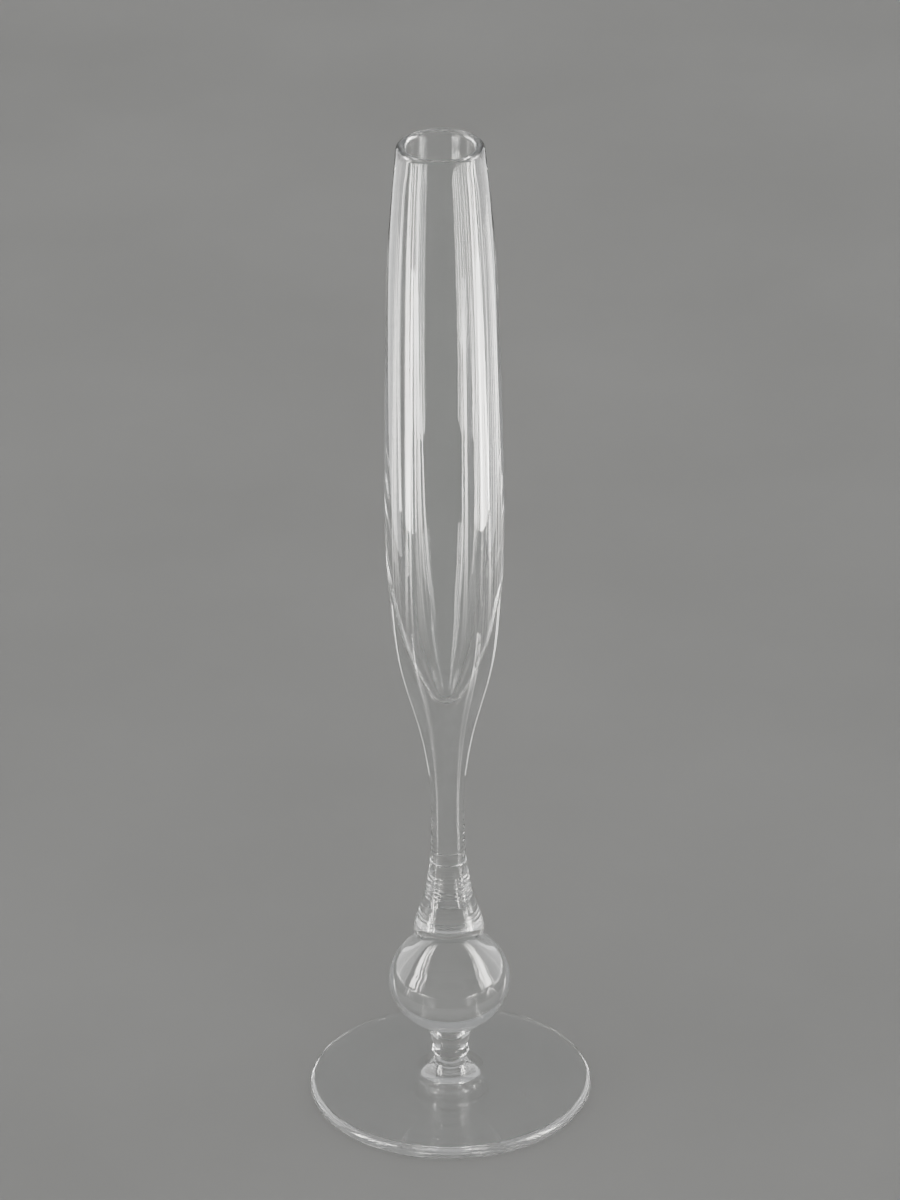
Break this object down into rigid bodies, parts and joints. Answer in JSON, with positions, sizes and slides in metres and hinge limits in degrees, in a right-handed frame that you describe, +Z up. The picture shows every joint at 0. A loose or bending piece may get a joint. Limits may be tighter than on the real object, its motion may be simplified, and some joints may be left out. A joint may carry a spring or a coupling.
{
  "type": "champagne flute",
  "caption": "Tall slender crystal flute: long bowl with a narrow rounded mouth, drawn stem, flared trumpet, glass ball knop and round foot.",
  "frame": {"origin": "centre of the ring that the foot stands on", "axes": "+Z up along the axis of the glass, from the foot to the mouth"},
  "size_m": [0.0816, 0.0816, 0.3],
  "materials": {
    "clear_crystal": "polished"
  },
  "bodies": {
    "root": {"foot": "clear_crystal", "lower_merese": "clear_crystal", "upper_merese": "clear_crystal", "ball_knop": "clear_crystal", "trumpet": "clear_crystal", "stem": "clear_crystal", "bowl": "clear_crystal"}
  },
  "joints": []
}
